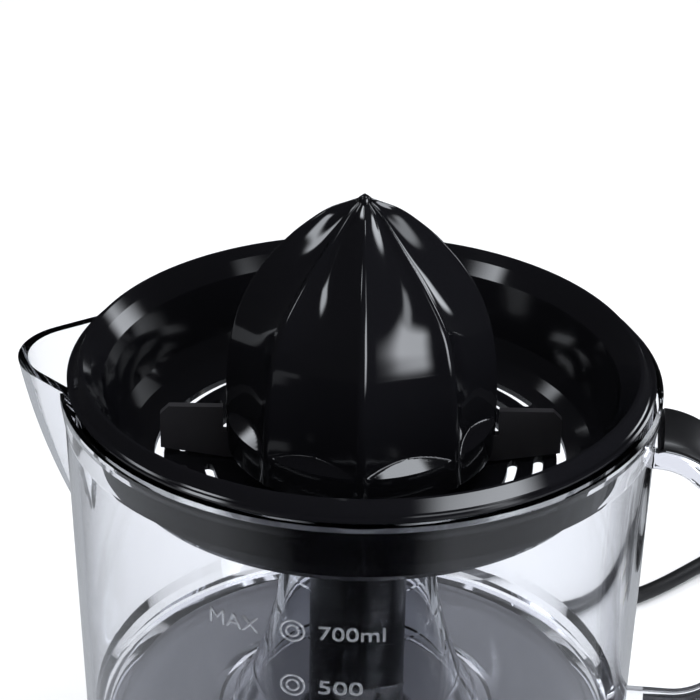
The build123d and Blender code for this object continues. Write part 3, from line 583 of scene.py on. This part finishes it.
def raised_text(name, words, width, size, azimuth, height):
    """Raised lettering on the jug: width along the wall and height of its capitals in millimetres."""
    capital_share = 0.72  # of the font's size
    font = bpy.data.curves.new(name, "FONT")
    font.body = words
    font.size = size / capital_share
    font.align_x = "CENTER"
    font.align_y = "CENTER"
    font.extrude = 0.2
    font.bevel_depth = 0.08
    font.bevel_resolution = 2
    font.offset = -0.1
    flat = bpy.data.objects.new(name + "_flat", font)
    mesh = bpy.data.meshes.new_from_object(flat)
    bpy.data.objects.remove(flat)
    bpy.data.curves.remove(font)
    reach = [vertex.co.x for vertex in mesh.vertices]
    stretch, middle = width / (max(reach) - min(reach)), (max(reach) + min(reach)) / 2
    for vertex in mesh.vertices:
        x, y, z = vertex.co
        vertex.co = wrap((x - middle) * stretch, y, z + 0.06, azimuth, height)
    mesh.name = name
    piece = bpy.data.objects.new(name, mesh)
    bpy.context.collection.objects.link(piece)
    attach(piece, "jug")
    piece.data.materials.append(mark_finish)


def raised_ring(name, radius, thickness, azimuth, height):
    """A thin torus laid on the jug's wall."""

    def build(shape):
        sides, steps = 10, 48
        rings = []
        for side in range(sides):
            turn = 2 * pi * side / sides
            ring = []
            for step in range(steps):
                angle = 2 * pi * step / steps
                reach = radius + thickness * cos(turn)
                spot = wrap(reach * cos(angle), reach * sin(angle), thickness * sin(turn), azimuth, height)
                ring.append(shape.verts.new(spot))
            rings.append(ring)
        skin(shape, rings + [rings[0]])

    ring = make_piece(name, build, "jug", "clear_plastic", 60.0)
    ring.data.materials.clear()
    ring.data.materials.append(mark_finish)


# height on the jug, words, and their width, in millimetres
mark_rows = [(135.0, "700ml", 15.1), (119.8, "500", 10.2), (104.6, "300", 10.2), (89.4, "100", 10.2)]
ring_azimuth, max_azimuth = radians(-96.0), radians(-107.2)
outer_ring, inner_ring = (2.75, 0.26), (1.45, 0.24)  # radius and thickness
number_height, max_height = 3.8, 4.2
text_radius = 72.6
text_left = radians(-85.2) - mark_rows[0][2] / 2 / text_radius  # every row of words starts here
for row_height, words, width in mark_rows:
    raised_ring("mark_ring_" + words, *outer_ring, ring_azimuth, row_height)
    raised_ring("mark_dot_" + words, *inner_ring, ring_azimuth, row_height)
    text_middle = text_left + width / 2 / text_radius
    raised_text("mark_" + words, words, width, number_height, text_middle, row_height)
raised_text("mark_max", "MAX", 12.2, max_height, max_azimuth, 134.5)


# ---------------------------------------------------------------- stage and light
def path_test(nodes, links, depth_output, threshold=0.5):
    """1 where a light path has had more than threshold bounces of the given kind, else 0."""
    path = nodes.new("ShaderNodeLightPath")
    test = nodes.new("ShaderNodeMath")
    test.operation = "GREATER_THAN"
    test.inputs[1].default_value = threshold
    links.new(path.outputs[depth_output], test.inputs[0])
    return test.outputs[0]


def table_glow(nodes, links):
    """How bright the table looks in a reflection: white beside the object, dark in front and far off."""
    white, black = (1, 1, 1, 1), (0, 0, 0, 1)
    place = nodes.new("ShaderNodeTexCoord")
    turn = nodes.new("ShaderNodeMapping")
    turn.inputs["Rotation"].default_value = (0, 0, radians(84.0))
    around = nodes.new("ShaderNodeTexGradient")
    around.gradient_type = "RADIAL"
    links.new(place.outputs["Object"], turn.inputs["Vector"])
    links.new(turn.outputs["Vector"], around.inputs["Vector"])
    sides = nodes.new("ShaderNodeValToRGB")
    ramp = sides.color_ramp
    # shares of a turn, where a half is straight in front, towards the camera
    ramp.elements[0].position, ramp.elements[0].color = 0.36, white
    ramp.elements[1].position, ramp.elements[1].color = 0.59, white
    ramp.elements.new(0.44).color = black
    ramp.elements.new(0.55).color = black
    links.new(around.outputs["Fac"], sides.inputs["Fac"])
    reach = nodes.new("ShaderNodeVectorMath")
    reach.operation = "LENGTH"
    links.new(place.outputs["Object"], reach.inputs[0])
    near = nodes.new("ShaderNodeMapRange")
    near.inputs["To Min"].default_value = 0.5
    near.inputs["To Max"].default_value = 0.02
    links.new(reach.outputs["Value"], near.inputs["Value"])
    # past more than two surfaces of clear plastic, the white part ends much nearer
    through = path_test(nodes, links, "Transmission Depth", 2.5)
    for end, outside, inside in (("From Min", 0.36, 0.165), ("From Max", 0.5, 0.2)):
        limit = nodes.new("ShaderNodeMapRange")
        limit.inputs["To Min"].default_value = outside
        limit.inputs["To Max"].default_value = inside
        links.new(through, limit.inputs["Value"])
        links.new(limit.outputs["Result"], near.inputs[end])
    glow = nodes.new("ShaderNodeMath")
    glow.operation = "MULTIPLY"
    links.new(sides.outputs["Color"], glow.inputs[0])
    links.new(near.outputs["Result"], glow.inputs[1])
    return glow.outputs[0]


def make_floor():
    """The table: matt white to look at, with its own glow in reflections."""
    mesh = bpy.data.meshes.new("floor")
    shape = bmesh.new()
    bmesh.ops.create_grid(shape, x_segments=1, y_segments=1, size=6.0)
    shape.to_mesh(mesh)
    shape.free()
    floor = bpy.data.objects.new("floor", mesh)
    bpy.context.collection.objects.link(floor)
    material, nodes, links, shader = new_material("floor", (0.84, 0.84, 0.845), 0.6)
    shader.inputs["Specular IOR Level"].default_value = 0.1
    dim = nodes.new("ShaderNodeEmission")
    dim.inputs["Color"].default_value = (0.9, 0.94, 1.0, 1)
    links.new(table_glow(nodes, links), dim.inputs["Strength"])
    mix = nodes.new("ShaderNodeMixShader")
    links.new(path_test(nodes, links, "Glossy Depth"), mix.inputs["Fac"])
    links.new(shader.outputs["BSDF"], mix.inputs[1])
    links.new(dim.outputs["Emission"], mix.inputs[2])
    links.new(mix.outputs["Shader"], nodes["Material Output"].inputs["Surface"])
    floor.data.materials.append(material)
    floor.location.z = -0.0002


def make_world():
    """A light tent: white to look at, nearly black in mirror-like reflections outside the jug."""
    world = bpy.data.worlds.new("world")
    bpy.context.scene.world = world
    world.use_nodes = True
    nodes, links = world.node_tree.nodes, world.node_tree.links
    nodes.clear()
    bright = nodes.new("ShaderNodeBackground")
    bright.inputs["Color"].default_value = (1.0, 1.0, 1.0, 1)
    bright.inputs["Strength"].default_value = 1.0
    dim = nodes.new("ShaderNodeBackground")
    dim.inputs["Color"].default_value = (0.9, 0.92, 1.0, 1)
    level = nodes.new("ShaderNodeMapRange")
    level.inputs["To Min"].default_value = 0.015
    level.inputs["To Max"].default_value = 1.0
    links.new(path_test(nodes, links, "Transmission Depth"), level.inputs["Value"])
    links.new(level.outputs["Result"], dim.inputs["Strength"])
    mix = nodes.new("ShaderNodeMixShader")
    out = nodes.new("ShaderNodeOutputWorld")
    links.new(path_test(nodes, links, "Glossy Depth"), mix.inputs["Fac"])
    links.new(bright.outputs["Background"], mix.inputs[1])
    links.new(dim.outputs["Background"], mix.inputs[2])
    links.new(mix.outputs["Shader"], out.inputs["Surface"])


def feather(nodes, links, edge):
    """1 in the middle of an area light, falling to 0 at its edges over a share of its width."""
    spot = nodes.new("ShaderNodeNewGeometry")
    split = nodes.new("ShaderNodeSeparateXYZ")
    links.new(spot.outputs["Parametric"], split.inputs["Vector"])
    product = nodes.new("ShaderNodeMath")
    product.operation = "MULTIPLY"
    for index, side in enumerate("XY"):
        fold = nodes.new("ShaderNodeMath")
        fold.operation = "PINGPONG"
        fold.inputs[1].default_value = 0.5
        rise = nodes.new("ShaderNodeMapRange")
        rise.interpolation_type = "SMOOTHSTEP"
        rise.inputs["From Max"].default_value = edge
        links.new(split.outputs[side], fold.inputs[0])
        links.new(fold.outputs[0], rise.inputs["Value"])
        links.new(rise.outputs["Result"], product.inputs[index])
    return product.outputs[0]


def soft_box(name, azimuth, elevation, width, height, radiance, edge=0.3, distance=0.8):
    """An area light aimed at the cone; azimuth runs counter-clockwise from the camera's right hand."""
    data = bpy.data.lights.new(name, "AREA")
    data.shape = "RECTANGLE"
    data.size, data.size_y = width, height
    data.energy = radiance * pi * width * height
    data.color = (0.9, 0.94, 1.0)
    data.use_nodes = True
    nodes, links = data.node_tree.nodes, data.node_tree.links
    links.new(feather(nodes, links, edge), nodes["Emission"].inputs["Strength"])
    light = bpy.data.objects.new(name, data)
    bpy.context.collection.objects.link(light)
    aim = Vector((0, 0, flange_z + 0.01))
    turn, rise = radians(azimuth + camera_yaw), radians(elevation)
    away = Vector((cos(rise) * cos(turn), cos(rise) * sin(turn), sin(rise)))
    light.location = aim + distance * away
    light.rotation_euler = (-away).to_track_quat("-Z", "Y").to_euler()
    light.visible_camera = False


make_floor()
make_world()
# name, azimuth, elevation, width and height in metres, radiance, and the feathered edge where not 0.3
soft_box("front_right_box", -44, 13, 0.75, 0.7, 7.5)
soft_box("flute_box", -32, 38, 0.3, 0.3, 4.0, 0.4)
soft_box("back_right_box", 36, 13, 0.32, 0.32, 5.0)
soft_box("upper_left_box", 203, 40, 0.24, 0.22, 7.0)
soft_box("upper_back_box", 131, 42, 0.36, 0.3, 7.0)
soft_box("ledge_box", 15, 70, 0.34, 0.34, 7.0, 0.15)
bpy.context.scene.view_settings.view_transform = "Standard"
